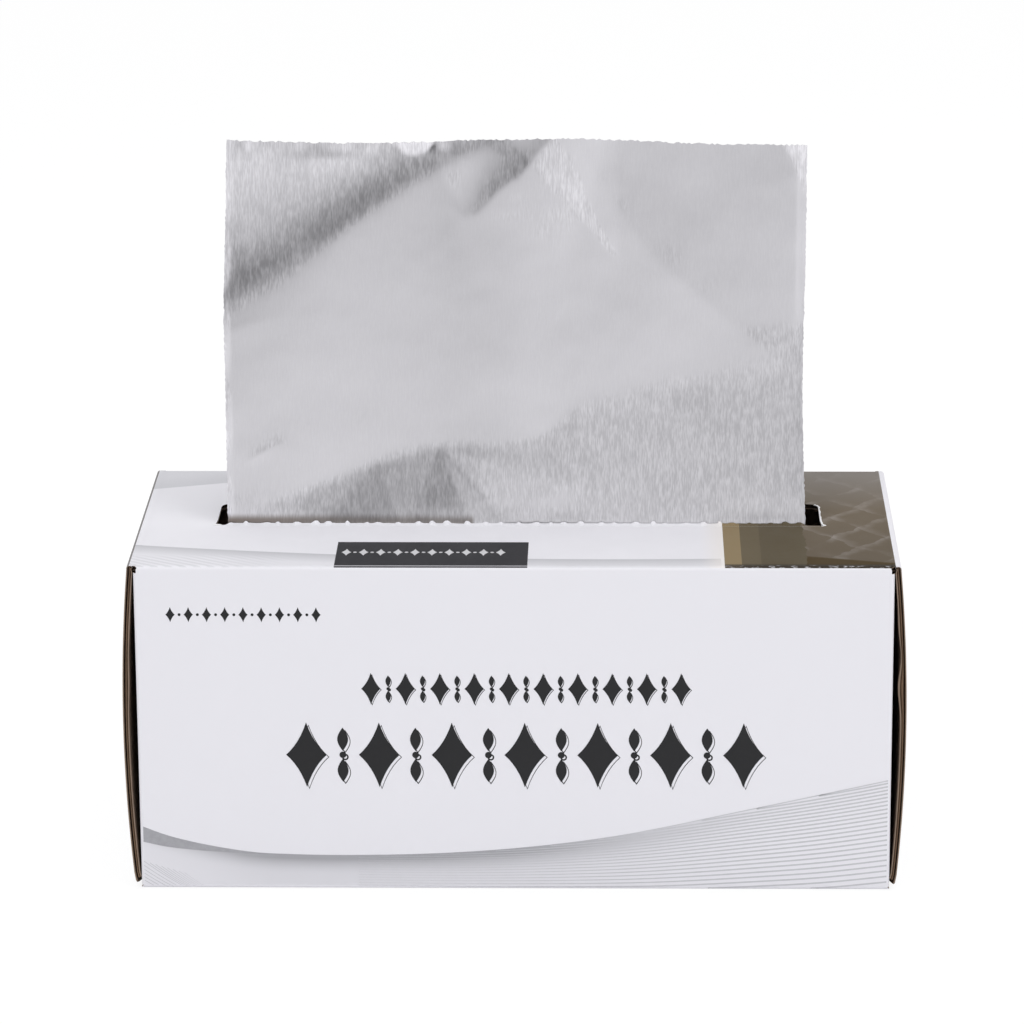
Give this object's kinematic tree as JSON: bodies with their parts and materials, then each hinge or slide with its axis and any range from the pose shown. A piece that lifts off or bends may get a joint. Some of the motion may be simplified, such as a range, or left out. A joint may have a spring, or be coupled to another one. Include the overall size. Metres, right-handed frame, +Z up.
{
  "type": "hair foil roll",
  "caption": "Wound roll of hair foil in a folded board carton with opening end flaps; its first sheet stands up out of the slot in the carton's top.",
  "frame": {"origin": "middle of the carton's base, on the surface it stands on", "axes": "+Z up, +X along the roll to the right, -Y out of the front of the carton"},
  "size_m": [0.169, 0.0736, 0.1561],
  "materials": {
    "printed_board": "fine-fluted board, white print outside, brown inside",
    "foil": "thin rolled foil, satin with fine rolling lines",
    "tube_paper": "spiral-wound brown paper"
  },
  "bodies": {
    "box": {"carton": "printed_board", "foil": "foil", "core_tube": "tube_paper"},
    "flap_left": {"end_flap_left": "printed_board"},
    "flap_right": {"end_flap_right": "printed_board"}
  },
  "joints": [
    {"name": "flap_left_hinge", "type": "hinge", "parent": "box", "child": "flap_left", "pos_m": [-0.0822, 0, 0.07295], "axis": [0, 1, 0], "range_deg": [0, 180]},
    {"name": "flap_right_hinge", "type": "hinge", "parent": "box", "child": "flap_right", "pos_m": [0.0822, 0, 0.07295], "axis": [0, -1, 0], "range_deg": [0, 180]}
  ]
}
